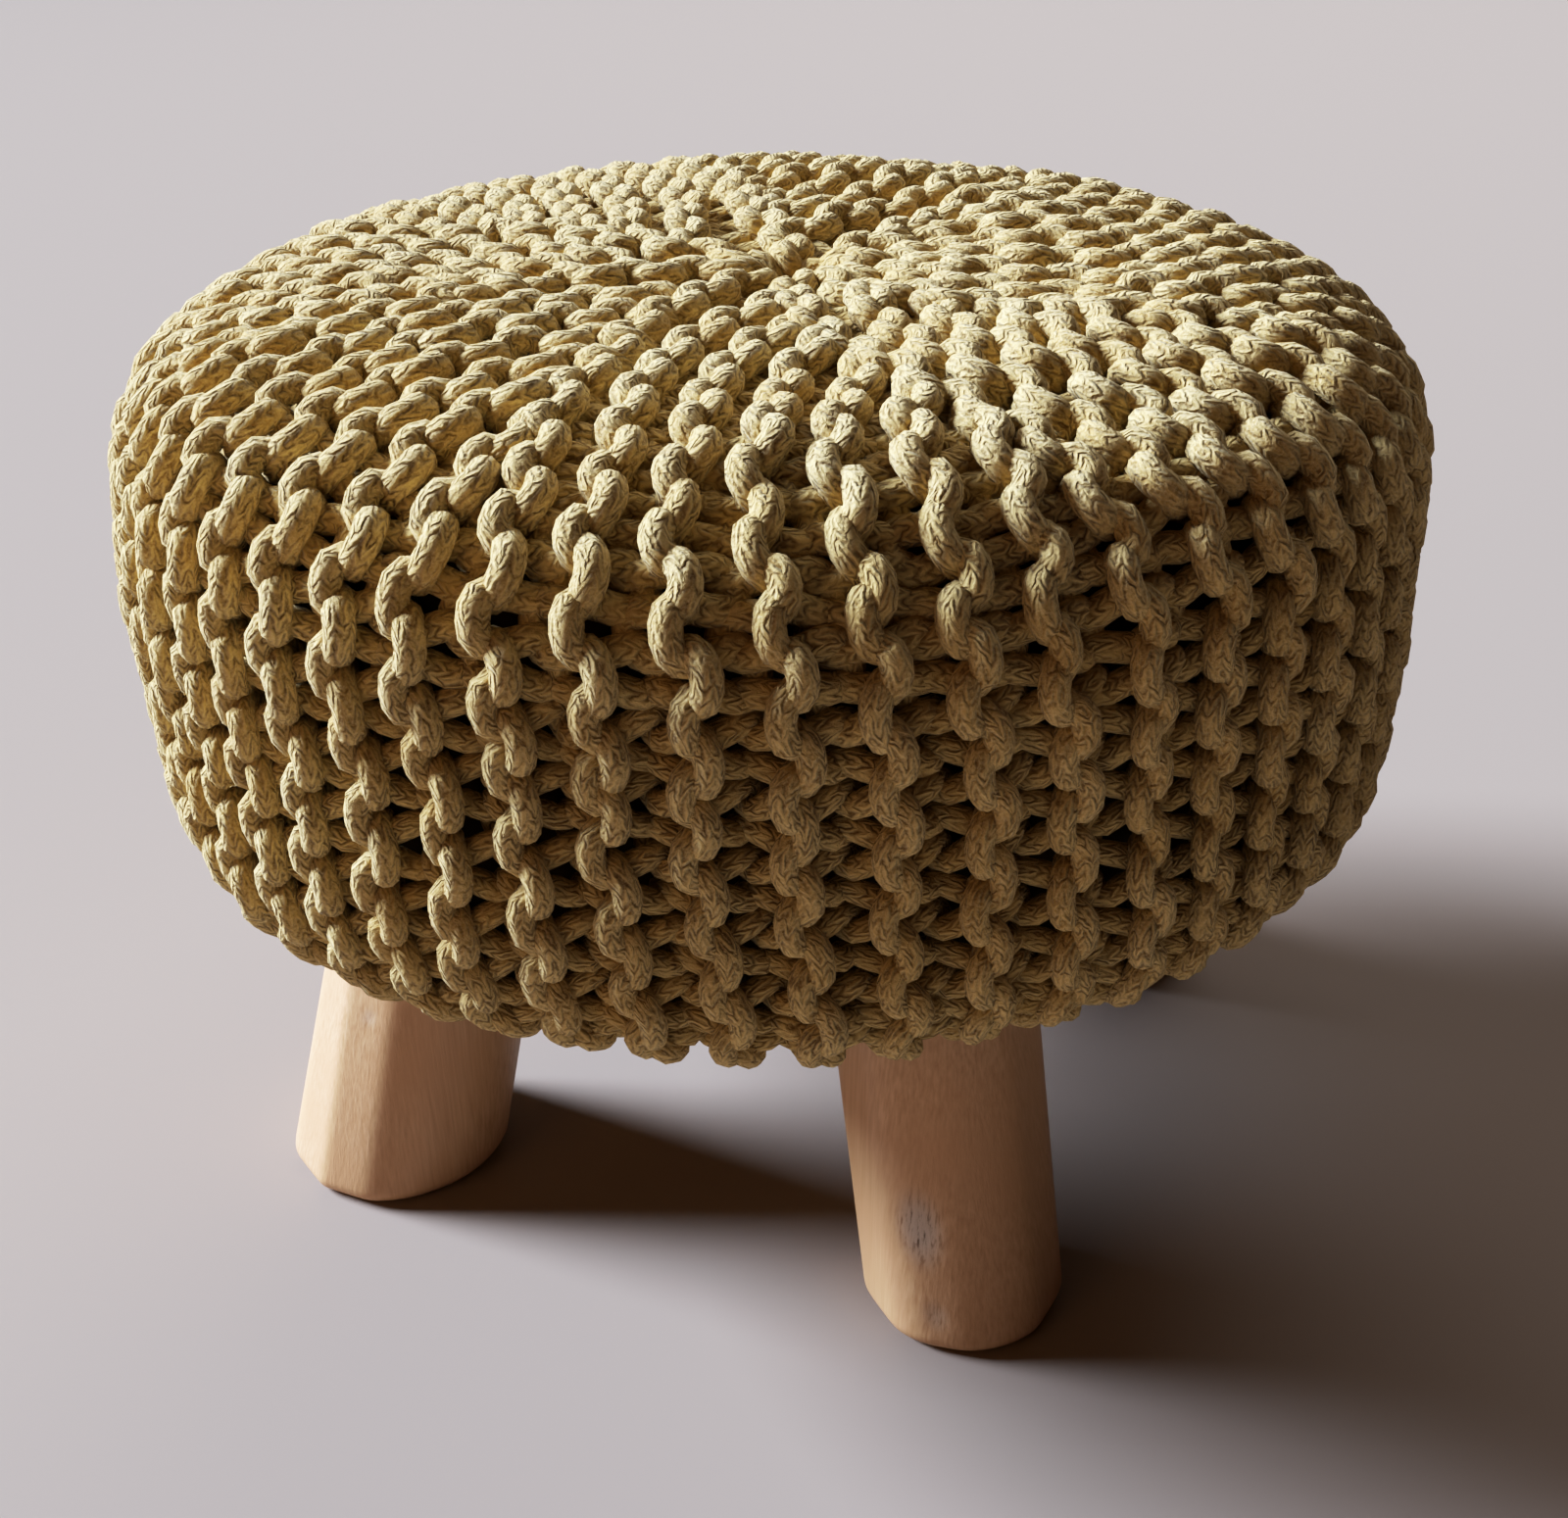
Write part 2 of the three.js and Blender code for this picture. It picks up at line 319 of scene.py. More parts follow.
def body_outline():
    """The outline from the middle of the crown to the hem, at even steps: radius, height, outward normal.

    Crown and lower half are quarters of superellipses, |r/R|^p + |z/Z|^q = 1, that meet at the widest ring.
    The lower one is cut by the flat underside. A running mean rounds the corner that is left there.
    """
    angle = np.linspace(math.pi / 2, 0, OUTLINE_SAMPLES)
    crown = np.stack([
        BODY_RADIUS * np.cos(angle) ** (2 / CROWN_POWER["radius"]),
        WIDEST_HEIGHT + (CROWN_HEIGHT - WIDEST_HEIGHT) * np.sin(angle) ** (2 / CROWN_POWER["height"]),
    ], -1)
    drop = WIDEST_HEIGHT - UNDERSIDE_HEIGHT
    flat_angle = math.asin((drop / LOWER_DROP) ** (LOWER_POWER["height"] / 2))
    angle = np.linspace(0, flat_angle, OUTLINE_SAMPLES)
    lower = np.stack([
        BODY_RADIUS * np.cos(angle) ** (2 / LOWER_POWER["radius"]),
        WIDEST_HEIGHT - LOWER_DROP * np.sin(angle) ** (2 / LOWER_POWER["height"]),
    ], -1)
    flat = np.array([[HEM_RADIUS - 2 * OUTLINE_SOFTENING, UNDERSIDE_HEIGHT]])
    outline = np.concatenate([crown, lower[1:], flat])
    length = np.concatenate([[0], np.cumsum(np.linalg.norm(np.diff(outline, axis=0), axis=1))])
    along = np.arange(0, length[-1], OUTLINE_STEP)
    even = np.stack([np.interp(along, length, outline[:, i]) for i in (0, 1)], -1)
    half = int(OUTLINE_SOFTENING / OUTLINE_STEP)
    mirrored = even[half:0:-1] * [-1, 1]
    padded = np.concatenate([mirrored, even, np.repeat(even[-1:], half, 0)])
    kernel = np.hanning(2 * half + 1)
    even = np.stack([np.convolve(padded[:, i], kernel / kernel.sum(), "valid") for i in (0, 1)], -1)
    even = even[:-2 * half]
    tangent = unit(np.gradient(even, axis=0))
    normal = np.stack([-tangent[:, 1], tangent[:, 0]], -1)
    return even[:, 0], even[:, 1], normal


OUTLINE_RADIUS, OUTLINE_HEIGHT, OUTLINE_NORMAL = body_outline()
WIDEST_INDEX = int(np.argmax(OUTLINE_RADIUS))


def waves(shortest, longest):
    """Random waves over the cover: turns round the body, angle for each metre along, phases and sizes."""
    return {
        "round": rng.integers(-WAVE_TURNS, WAVE_TURNS + 1, WAVE_COUNT),
        "along": TURN / rng.uniform(shortest, longest, WAVE_COUNT),
        "phase": rng.uniform(0, TURN, WAVE_COUNT),
        "size": rng.uniform(0.5, 1, WAVE_COUNT) / math.sqrt(WAVE_COUNT / 2),
    }


WAVES_ALONG = waves(*WAVE_LENGTHS["along"])
WAVES_ACROSS = waves(*WAVE_LENGTHS["across"])
WAVES_HEIGHT = waves(*WAVE_LENGTHS["height"])


def wave_height(field, ridge, along):
    """Sum of the waves of one field at a ridge number and a distance along it, about -1 to 1."""
    angle = field["round"] * ridge * RIDGE_ANGLE + field["along"] * along[:, None] + field["phase"]
    return (field["size"] * np.sin(angle)).sum(1)


def ridge_path(wedge_index, number):
    """The middle line of one ridge inside the knit, from its inner end to the hem.

    On the crown the azimuth is shared out between the first ridges of this wedge and the next one, over as
    many ridges as still run at that radius: azimuth = edge + (next edge - edge) * number / running, where
    running is ridges * sin(inward * pi / 2)^gather and inward is radius / crown radius. The edges turn by
    swirl * (1 - inward)^1.5 towards the middle. A ridge ends where running has come down to its own number.
    Below the shoulder every ridge turns on evenly with the drop.
    """
    wedge = WEDGES[wedge_index]
    following = WEDGES[(wedge_index + 1) % len(WEDGES)]
    end_share = max(0, (number - RIDGE_OVERRUN) / wedge["ridges"]) ** (1 / wedge["gather"])
    end_radius = max(MIDDLE_RADIUS, CROWN_RADIUS * math.asin(end_share) / (math.pi / 2))
    first = int(np.searchsorted(OUTLINE_RADIUS[:WIDEST_INDEX], end_radius))
    radius, height, normal = OUTLINE_RADIUS[first:], OUTLINE_HEIGHT[first:], OUTLINE_NORMAL[first:]
    on_crown = np.arange(first, len(OUTLINE_RADIUS)) < WIDEST_INDEX
    inward = np.where(on_crown, np.minimum(1, radius / CROWN_RADIUS), 1)
    running = np.maximum(1, wedge["ridges"] * np.sin(inward * math.pi / 2) ** wedge["gather"])

    def edge(row):
        turned = FIRST_WEDGE_AZIMUTH - row["swirl"] * (1 - inward) ** SWIRL_POWER
        return np.radians(turned) + row["before"] * RIDGE_ANGLE

    start = edge(wedge)
    span = (edge(following) - start) % TURN
    shoulder = np.interp(CROWN_RADIUS, OUTLINE_RADIUS[:WIDEST_INDEX], OUTLINE_HEIGHT[:WIDEST_INDEX])
    drop = np.clip((shoulder - height) / (shoulder - UNDERSIDE_HEIGHT), 0, 1)
    azimuth = start + span * number / running + math.radians(SIDE_TURN) * drop
    shift = (1 - inward) ** 2
    sunk_radius = radius - TOP_OF_KNIT * normal[:, 0]
    points = np.stack([
        sunk_radius * np.cos(azimuth) + MIDDLE_SHIFT[0] * shift,
        sunk_radius * np.sin(azimuth) + MIDDLE_SHIFT[1] * shift,
        height - TOP_OF_KNIT * normal[:, 1],
    ], -1)
    outward = np.stack([normal[:, 0] * np.cos(azimuth), normal[:, 0] * np.sin(azimuth), normal[:, 1]], -1)
    steps = np.linalg.norm(np.diff(points, axis=0), axis=1)
    along = np.concatenate([[0], np.cumsum(steps)])
    along -= along[WIDEST_INDEX - first] + LEVEL_STITCH
    lean = np.gradient(np.arange(len(along)) * OUTLINE_STEP) / np.maximum(np.gradient(along), 1e-9)
    spacing = sunk_radius * span / running * np.minimum(1, lean)
    return along, points, outward, spacing


def on_path(along, values, place):
    """Values given along a path, at other places on it."""
    return np.stack([np.interp(place, along, values[:, i]) for i in range(values.shape[1])], -1)


def stitch_jitter(stitch, size):
    """A random amount for each stitch of a row, easing from one stitch to the next."""
    first = int(math.floor(stitch[0]))
    count = int(math.ceil(stitch[-1])) - first + 2
    amounts = rng.normal(0, size, count)
    whole = np.floor(stitch).astype(int) - first
    ease = smoothstep(0, 1, stitch - np.floor(stitch))
    return amounts[whole] * (1 - ease) + amounts[whole + 1] * ease


def crown_slack(height):
    """How slack the knit is at a height: 0 on the side, 1 on the crown."""
    return smoothstep(WIDEST_HEIGHT - SLACK_DROP, CROWN_HEIGHT - 2 * CORD_DIAMETER, height)


def cord_row(path, ridge, side):
    """Centre line of one row of cord, with the outward direction there and its height in the knit, 0 to 1.

    A row is a string of loops. With t one turn for each stitch, its place along the ridge is
    length * t / 2 pi + spread * sin 2t, its place across is reach * cos t from the row's own line, and its
    height is rise * cos t + arch * (cos 3t - cos 5t). The two rows of a ridge lie to either side of it, and
    the heights of the second one are turned over, so that the loops of both reach the ridge in front and
    hook there. Towards the hem the valleys rise, so that the loops get shallower under the same crests.
    """
    along, points, outward, spacing = path
    first, last = along[0] / STITCH_LENGTH, along[-1] / STITCH_LENGTH
    stitch = np.arange(first, last, 1 / STITCH_STEPS)
    plain = stitch * STITCH_LENGTH
    turn = stitch * TURN
    slack = np.interp(plain, along, crown_slack(points[:, 2]))
    spread = LOOP_SPREAD * (1 + SLACK_SPREAD * slack + stitch_jitter(stitch, STITCH_UNEVEN["spread"]))
    place = (plain + spread * np.sin(2 * turn)
             + UNEVEN["along"] * wave_height(WAVES_ALONG, ridge, plain)
             + stitch_jitter(stitch, STITCH_UNEVEN["along"]))
    width = np.interp(place, along, spacing)
    reach = ROW_OFFSET * width + RIDGE_HALF_WIDTH
    across = (side * ROW_OFFSET * width + reach * np.cos(turn)
              + UNEVEN["across"] * wave_height(WAVES_ACROSS, ridge, plain)
              + stitch_jitter(stitch, STITCH_UNEVEN["across"]))
    arch = LOOP_ARCH * (np.cos(3 * turn) - np.cos(5 * turn))
    from_middle = np.hypot(points[:, 0] - MIDDLE_SHIFT[0], points[:, 1] - MIDDLE_SHIFT[1])
    outside = smoothstep(0, MIDDLE_REACH, np.interp(plain, along, from_middle))
    stand = (1 + SLACK_RISE * slack) * (MIDDLE_RISE + (1 - MIDDLE_RISE) * outside)
    on_side = smoothstep(HEM_REACH["start"], HEM_REACH["end"], plain[-1] - plain)
    stand = stand * (HEM_RISE + (1 - HEM_RISE) * on_side)
    wave = -side * stand * (LOOP_RISE * np.cos(turn) + arch)
    height = (np.where(wave < 0, 1 - SLACK_VALLEY * slack, 1) * wave
              + LOOP_RISE * (1 - HEM_RISE) * (1 - on_side)
              + UNEVEN["height"] * wave_height(WAVES_HEIGHT, ridge, plain)
              + stitch_jitter(stitch, STITCH_UNEVEN["height"]))
    crest = np.clip(0.5 + height / (2 * LOOP_RISE), 0, 1)
    ends = np.minimum(plain - plain[0], plain[-1] - plain)
    height = height - END_TUCK * (1 - smoothstep(0, END_TUCK_LENGTH, ends))
    normal = unit(on_path(along, outward, place))
    tangent = unit(on_path(along, np.gradient(points, axis=0), place))
    aside = unit(np.cross(normal, tangent))
    line = on_path(along, points, place) + across[:, None] * aside + height[:, None] * normal
    return line, normal, crest


def cord_tube(line, up, crest):
    """A round cord about a line, with closed ends. Its UVs count turns round it and girths along it."""
    tangent = unit(np.gradient(line, axis=0))
    across = unit(np.cross(tangent, up))
    front = np.cross(across, tangent)
    turn = TURN * np.arange(CORD_SIDES) / CORD_SIDES
    slack = crown_slack(line[:, 2])
    drawn = 1 - smoothstep(CORD_DRAWN["fully"], CORD_DRAWN["not"], crest)
    thinning = 1 - CORD_DRAW * drawn * (1 - slack)
    radius = (CORD_DIAMETER / 2 * (1 + CORD_SWELL * slack) * thinning)[:, None, None]
    circle = np.cos(turn)[None, :, None] * front[:, None] + np.sin(turn)[None, :, None] * across[:, None]
    rings = line[:, None] + radius * circle
    count = len(line)
    points = np.concatenate([rings.reshape(-1, 3), line[:1], line[-1:]])
    quads = grid_quads(count, CORD_SIDES, closed=True)
    ring = np.arange(CORD_SIDES)
    last = (count - 1) * CORD_SIDES
    triangles = np.concatenate([
        cap_triangles(ring, count * CORD_SIDES, outward_along_ring=False),
        cap_triangles(last + ring, count * CORD_SIDES + 1, outward_along_ring=True),
    ])
    length = np.concatenate([[0], np.cumsum(np.linalg.norm(np.diff(line, axis=0), axis=1))])
    girths = length / (math.pi * CORD_DIAMETER)
    row, column = np.meshgrid(np.arange(count - 1), ring, indexing="ij")
    around = np.stack([column, column + 1, column + 1, column], -1) / CORD_SIDES
    forward = np.stack([girths[row], girths[row], girths[row + 1], girths[row + 1]], -1)
    quad_uv = np.stack([around, forward], -1).reshape(-1, 2)
    cap_uv = np.zeros((triangles.size, 2))
    height = np.concatenate([np.repeat(crest, CORD_SIDES), crest[:1], crest[-1:]])
    return points, quads, triangles, np.concatenate([quad_uv, cap_uv]), height


def joined_piece(name, tubes):
    """Several tubes as one mesh object."""
    offsets = np.concatenate([[0], np.cumsum([len(tube[0]) for tube in tubes])])[:-1]
    points = np.concatenate([tube[0] for tube in tubes])
    quads = np.concatenate([tube[1] + offset for tube, offset in zip(tubes, offsets)])
    triangles = np.concatenate([tube[2] + offset for tube, offset in zip(tubes, offsets)])
    quad_uv = np.concatenate([tube[3][:tube[1].size] for tube in tubes])
    cap_uv = np.concatenate([tube[3][tube[1].size:] for tube in tubes])
    crest = np.concatenate([tube[4] for tube in tubes])
    return mesh_object(name, points, quads, triangles, np.concatenate([quad_uv, cap_uv]), {"crest": crest})


def knitted_cover():
    """All rows of cord, as pieces of a few ridges each."""
    tubes = []
    for wedge_index, wedge in enumerate(WEDGES):
        for number in range(wedge["ridges"]):
            path = ridge_path(wedge_index, number)
            ridge = wedge["before"] + number
            for side in (-1, 1):
                tubes.append(cord_tube(*cord_row(path, ridge, side)))
    per_piece = 2 * RIDGES_PER_PIECE
    groups = [tubes[i:i + per_piece] for i in range(0, len(tubes), per_piece)]
    return [joined_piece(f"knit_cover_{i + 1}", group) for i, group in enumerate(groups)]


def revolved(name, profile, columns):
    """A closed form of revolution about the vertical axis. profile has (radius, height), top to bottom."""
    turn = TURN * np.arange(columns) / columns
    around = np.stack([np.cos(turn), np.sin(turn)], -1)
    rings = np.concatenate([
        profile[:, None, :1] * around[None],
        np.broadcast_to(profile[:, None, 1:], (len(profile), columns, 1)),
    ], -1)
    count = len(profile)
    ends = [[0, 0, profile[0, 1]], [0, 0, profile[-1, 1]]]
    points = np.concatenate([rings.reshape(-1, 3), ends])
    ring = np.arange(columns)
    quads = grid_quads(count, columns, closed=True)[:, ::-1]
    triangles = np.concatenate([
        cap_triangles(ring, count * columns, outward_along_ring=True),
        cap_triangles((count - 1) * columns + ring, count * columns + 1, outward_along_ring=False),
    ])
    return mesh_object(name, points, quads, triangles)


def stuffed_casing():
    """The stuffed form under the knit: the outline moved inwards by one depth, closed by a flat round base.

    The corners of the base are rounded by a running mean along the profile.
    """
    reach = OUTLINE_NORMAL[:, 0] * CASING_DEPTH
    drop = OUTLINE_NORMAL[:, 1] * CASING_DEPTH
    sunk = np.stack([OUTLINE_RADIUS - reach, OUTLINE_HEIGHT - drop], -1)
    lower = np.arange(len(sunk)) > WIDEST_INDEX
    sunk = sunk[(sunk[:, 0] > OUTLINE_STEP) & ~(lower & (sunk[:, 0] < BASE_RADIUS))]
    corner = np.array([[BASE_RADIUS, sunk[-1, 1]], [BASE_RADIUS, BASE_HEIGHT], [BASE_MIDDLE, BASE_HEIGHT]])
    profile = np.concatenate([sunk, corner])
    length = np.concatenate([[0], np.cumsum(np.linalg.norm(np.diff(profile, axis=0), axis=1))])
    along = np.linspace(0, length[-1], CASING_SAMPLES)
    even = np.stack([np.interp(along, length, profile[:, i]) for i in (0, 1)], -1)
    half = int(CASING_ROUNDING / along[1])
    kernel = np.hanning(2 * half + 1)
    inner = np.stack([np.convolve(even[:, i], kernel / kernel.sum(), "valid") for i in (0, 1)], -1)
    rounded = np.concatenate([even[:1], inner, even[-1:]])
    return revolved("stuffed_casing", rounded[::CASING_ROW_STEP], CASING_COLUMNS)


def log_leg(row):
    """One peeled log: level rings about a leaning middle line, closed at both ends.

    The reach of a ring is its radius with a slight oval, cut by the flats. A flat at distance f from the
    middle line reaches f / cos(turn), and the nearer of log and flats counts, with softened edges:
    -s * log(sum of exp(-reach / s)). The foot's edge is a quarter round. Each scar is a shallow hollow.
    """
    quarter = np.linspace(0, math.pi / 2, LEG_EDGE_ROWS)
    edge = LEG_EDGE_RADIUS * (1 - np.cos(quarter))
    shaft = np.linspace(LEG_EDGE_RADIUS, LEG_TOP, LEG_SHAFT_ROWS + 1)[1:]
    height = np.concatenate([edge, shaft])
    inset = np.concatenate([LEG_EDGE_RADIUS * (1 - np.sin(quarter)), np.zeros(LEG_SHAFT_ROWS)])
    rise = height / LEG_TOP
    turn = TURN * np.arange(LEG_COLUMNS) / LEG_COLUMNS
    radius = (row["foot"] + (row["top"] - row["foot"]) * rise) / 2
    log = radius[:, None] * (1 + row["oval"] * np.cos(2 * (turn - math.radians(row["oval_at"]))))
    nearness = np.exp(-(log - radius[:, None]) / FACET_SOFTNESS)
    for facet in FACETS[row["name"]]:
        facing = np.cos(turn - np.radians(facet["azimuth"] + facet["turn"] * (rise[:, None] - 0.5)))
        flat = (radius[:, None] - facet["depth"]) / np.maximum(facing, FACET_LEAST_FACING)
        nearness += np.exp(-(flat - radius[:, None]) / FACET_SOFTNESS)
    reach = radius[:, None] - FACET_SOFTNESS * np.log(nearness) - inset[:, None]
    scar = np.zeros_like(reach)
    for mark in SCARS[row["name"]]:
        aside = (turn - math.radians(mark["azimuth"]) + math.pi) % TURN - math.pi
        above = (height[:, None] - mark["height"]) / mark["half_height"]
        away = np.hypot(aside / math.radians(mark["half_turn"]), above)
        faded = smoothstep(SCAR_FADE["start"], SCAR_FADE["end"], away)
        scar = np.maximum(scar, mark["strength"] * (1 - faded))
    reach = reach - SCAR_HOLLOW * scar
    distance = LEG_FOOT_DISTANCE - height * math.tan(LEG_SPLAY)
    lean = math.radians(row["azimuth"])
    points = np.stack([
        distance[:, None] * math.cos(lean) + reach * np.cos(turn),
        distance[:, None] * math.sin(lean) + reach * np.sin(turn),
        np.broadcast_to(height[:, None], reach.shape),
    ], -1)
    ends = [[d * math.cos(lean), d * math.sin(lean), h] for d, h in zip(distance[[0, -1]], height[[0, -1]])]
    count = len(height)
    ring = np.arange(LEG_COLUMNS)
    triangles = np.concatenate([
        cap_triangles(ring, count * LEG_COLUMNS, outward_along_ring=False),
        cap_triangles((count - 1) * LEG_COLUMNS + ring, count * LEG_COLUMNS + 1, outward_along_ring=True),
    ])
    return mesh_object("log_" + row["name"], np.concatenate([points.reshape(-1, 3), ends]),
                       grid_quads(count, LEG_COLUMNS, closed=True), triangles,
                       attributes={"scar": np.concatenate([scar.ravel(), [0, 0]])})


def place_camera():
    """The camera at the photograph's angle: forward turned by yaw and pitch, then the picture by roll."""
    yaw, pitch, roll = (math.radians(a) for a in (CAMERA_YAW, CAMERA_PITCH, CAMERA_ROLL))
    forward = Vector((math.sin(yaw) * math.cos(pitch), math.cos(yaw) * math.cos(pitch), -math.sin(pitch)))
    level = Vector((math.cos(yaw), -math.sin(yaw), 0))
    upright = level.cross(forward)
    right = math.cos(roll) * level + math.sin(roll) * upright
    up = math.cos(roll) * upright - math.sin(roll) * level
    data = bpy.data.cameras.new("camera")
    data.sensor_fit = "HORIZONTAL"
    data.sensor_width = SENSOR_WIDTH
    data.lens = FOCAL_PIXELS / IMAGE_SIZE[0] * SENSOR_WIDTH
    camera = bpy.data.objects.new("camera", data)
    axes = Matrix((right, up, -forward)).transposed()
    camera.matrix_world = Matrix.Translation(CAMERA_PLACE) @ axes.to_4x4()
    bpy.context.scene.collection.objects.link(camera)
    bpy.context.scene.camera = camera


def add_node(tree, kind, inputs=None, **settings):
    """Adds one node. settings are its own values. inputs gives each socket a value or a node's output."""
    made = tree.nodes.new(kind)
    for key, value in settings.items():
        setattr(made, key, value)
    for socket, value in (inputs or {}).items():
        if isinstance(value, bpy.types.NodeSocket):
            tree.links.new(value, made.inputs[socket])
        else:
            made.inputs[socket].default_value = value
    return made


def new_material(name):
    """An empty node material and its tree."""
    material = bpy.data.materials.new(name)
    material.use_nodes = True
    material.node_tree.nodes.clear()
    return material, material.node_tree


def cotton_cord_material():
    """Braided cotton cord, dyed mustard: matt, with soft plies that meet in chevrons, and a pale bloom that
    is partly painted highlight.

    Round the cord the plies lean to and fro, so their phase is the distance along the cord plus a zigzag
    round it, both over the spacing of the plies. Each ply is round, |sin(pi * phase)|^1.5, and dives where
    its column ends, sin(2 pi * zigzag). The furrows between them open and close. Each ply has its own
    height, and finer fibres. What stands high is paler, and what lies low is darker: painted shade in the
    furrows. The crests of the knit are paler still, as bleached fuzz and partly as painted highlight.
    """
    material, tree = new_material("cotton cord")
    uv = add_node(tree, "ShaderNodeUVMap", uv_map="cord")
    place = add_node(tree, "ShaderNodeTexCoord")
    parts = add_node(tree, "ShaderNodeSeparateXYZ", {"Vector": uv.outputs["UV"]})
    chevron = add_node(tree, "ShaderNodeMath", {0: parts.outputs["X"], 1: BRAID_CHEVRONS},
                       operation="MULTIPLY")
    zigzag = add_node(tree, "ShaderNodeMath", {0: chevron.outputs[0], 1: 0.5}, operation="PINGPONG")
    girth = math.pi * CORD_DIAMETER
    slant = girth / BRAID_CHEVRONS / math.tan(PLY_LEAN) / PLY_SPACING
    wander = add_node(tree, "ShaderNodeTexNoise",
                      {"Vector": place.outputs["Object"], "Scale": 1 / PLY_WANDER, "Detail": 2.0})
    along = add_node(tree, "ShaderNodeMath", {0: parts.outputs["Y"], 1: girth / PLY_SPACING},
                     operation="MULTIPLY")
    leaning = add_node(tree, "ShaderNodeMath", {0: zigzag.outputs[0], 1: slant, 2: along.outputs[0]},
                       operation="MULTIPLY_ADD")
    phase = add_node(tree, "ShaderNodeMath", {
        0: wander.outputs["Fac"], 1: PLY_WANDER_SHIFT, 2: leaning.outputs[0],
    }, operation="MULTIPLY_ADD")
    turned = add_node(tree, "ShaderNodeMath", {0: phase.outputs[0], 1: math.pi}, operation="MULTIPLY")
    wave = add_node(tree, "ShaderNodeMath", {0: turned.outputs[0]}, operation="SINE")
    sharp_ply = add_node(tree, "ShaderNodeMath", {0: wave.outputs[0]}, operation="ABSOLUTE")
    round_ply = add_node(tree, "ShaderNodeMath", {0: sharp_ply.outputs[0], 1: PLY_ROUNDNESS},
                         operation="POWER")
    across = add_node(tree, "ShaderNodeMath", {0: zigzag.outputs[0], 1: TURN}, operation="MULTIPLY")
    arch = add_node(tree, "ShaderNodeMath", {0: across.outputs[0]}, operation="SINE")
    dive = add_node(tree, "ShaderNodeMath", {0: arch.outputs[0], 1: PLY_DIVE, 2: 1 - PLY_DIVE},
                    operation="MULTIPLY_ADD")
    ply = add_node(tree, "ShaderNodeMath", {0: round_ply.outputs[0], 1: dive.outputs[0]},
                   operation="MULTIPLY")
    number = add_node(tree, "ShaderNodeMath", {0: phase.outputs[0]}, operation="FLOOR")
    column = add_node(tree, "ShaderNodeMath", {0: chevron.outputs[0], 1: 0.5}, operation="SNAP")
    which = add_node(tree, "ShaderNodeCombineXYZ", {"X": number.outputs[0], "Y": column.outputs[0]})
    own_height = add_node(tree, "ShaderNodeTexWhiteNoise", {"Vector": which.outputs["Vector"]})
    finer = add_node(tree, "ShaderNodeMath", {0: phase.outputs[0], 1: FIBRES_PER_PLY}, operation="MULTIPLY")
    along_ply = add_node(tree, "ShaderNodeCombineXYZ",
                         {"X": finer.outputs[0], "Y": chevron.outputs[0], "Z": parts.outputs["Y"]})
    fibre = add_node(tree, "ShaderNodeTexNoise",
                     {"Vector": along_ply.outputs["Vector"], "Scale": 1.0, "Detail": 2.0, "Roughness": 0.6})
    fuzz = add_node(tree, "ShaderNodeTexNoise", {
        "Vector": place.outputs["Object"], "Scale": 1 / FUZZ_GRAIN, "Detail": 3.0, "Roughness": 0.65,
    })
    mottle = add_node(tree, "ShaderNodeTexNoise",
                      {"Vector": place.outputs["Object"], "Scale": 1 / DYE_MOTTLE, "Detail": 3.0})
    gaps = add_node(tree, "ShaderNodeTexNoise",
                    {"Vector": place.outputs["Object"], "Scale": 1 / PLY_GAPS, "Detail": 1.0})
    opening = add_node(tree, "ShaderNodeMapRange",
                       {"Value": gaps.outputs["Fac"], "From Min": 0.36, "From Max": 0.58, "To Min": 0.3})
    closed = add_node(tree, "ShaderNodeMix",
                      {"Factor": opening.outputs["Result"], "A": PLY_CLOSED, "B": ply.outputs[0]},
                      data_type="FLOAT")
    standing = add_node(tree, "ShaderNodeMath", {
        0: own_height.outputs["Value"], 1: RELIEF["ply"], 2: closed.outputs["Result"],
    }, operation="MULTIPLY_ADD")
    fibrous = add_node(tree, "ShaderNodeMath", {
        0: fibre.outputs["Fac"], 1: RELIEF["fibre"], 2: standing.outputs[0],
    }, operation="MULTIPLY_ADD")
    relief = add_node(tree, "ShaderNodeMath", {
        0: fuzz.outputs["Fac"], 1: RELIEF["fuzz"], 2: fibrous.outputs[0],
    }, operation="MULTIPLY_ADD")
    bump = add_node(tree, "ShaderNodeBump",
                    {"Height": relief.outputs[0], "Strength": 1.0, "Distance": PLY_DEPTH})
    # Painted shade: the cord's colour goes from the thread colour down to the furrow colour where the
    # relief lies low.
    light = add_node(tree, "ShaderNodeMapRange",
                     {"Value": relief.outputs[0], "From Min": 0.55, "From Max": 1.55})
    thread = add_node(tree, "ShaderNodeMix", {
        "Factor": light.outputs["Result"],
        "A": linear(CORD_COLOURS["furrow_shade"]), "B": linear(CORD_COLOURS["thread"]),
    }, data_type="RGBA")
    dye = add_node(tree, "ShaderNodeMapRange",
                   {"Value": mottle.outputs["Fac"], "From Min": 0.35, "From Max": 0.75, "To Max": 0.6})
    dyed = add_node(tree, "ShaderNodeMix", {
        "Factor": dye.outputs["Result"],
        "A": thread.outputs["Result"], "B": linear(CORD_COLOURS["dye"]),
    }, data_type="RGBA")
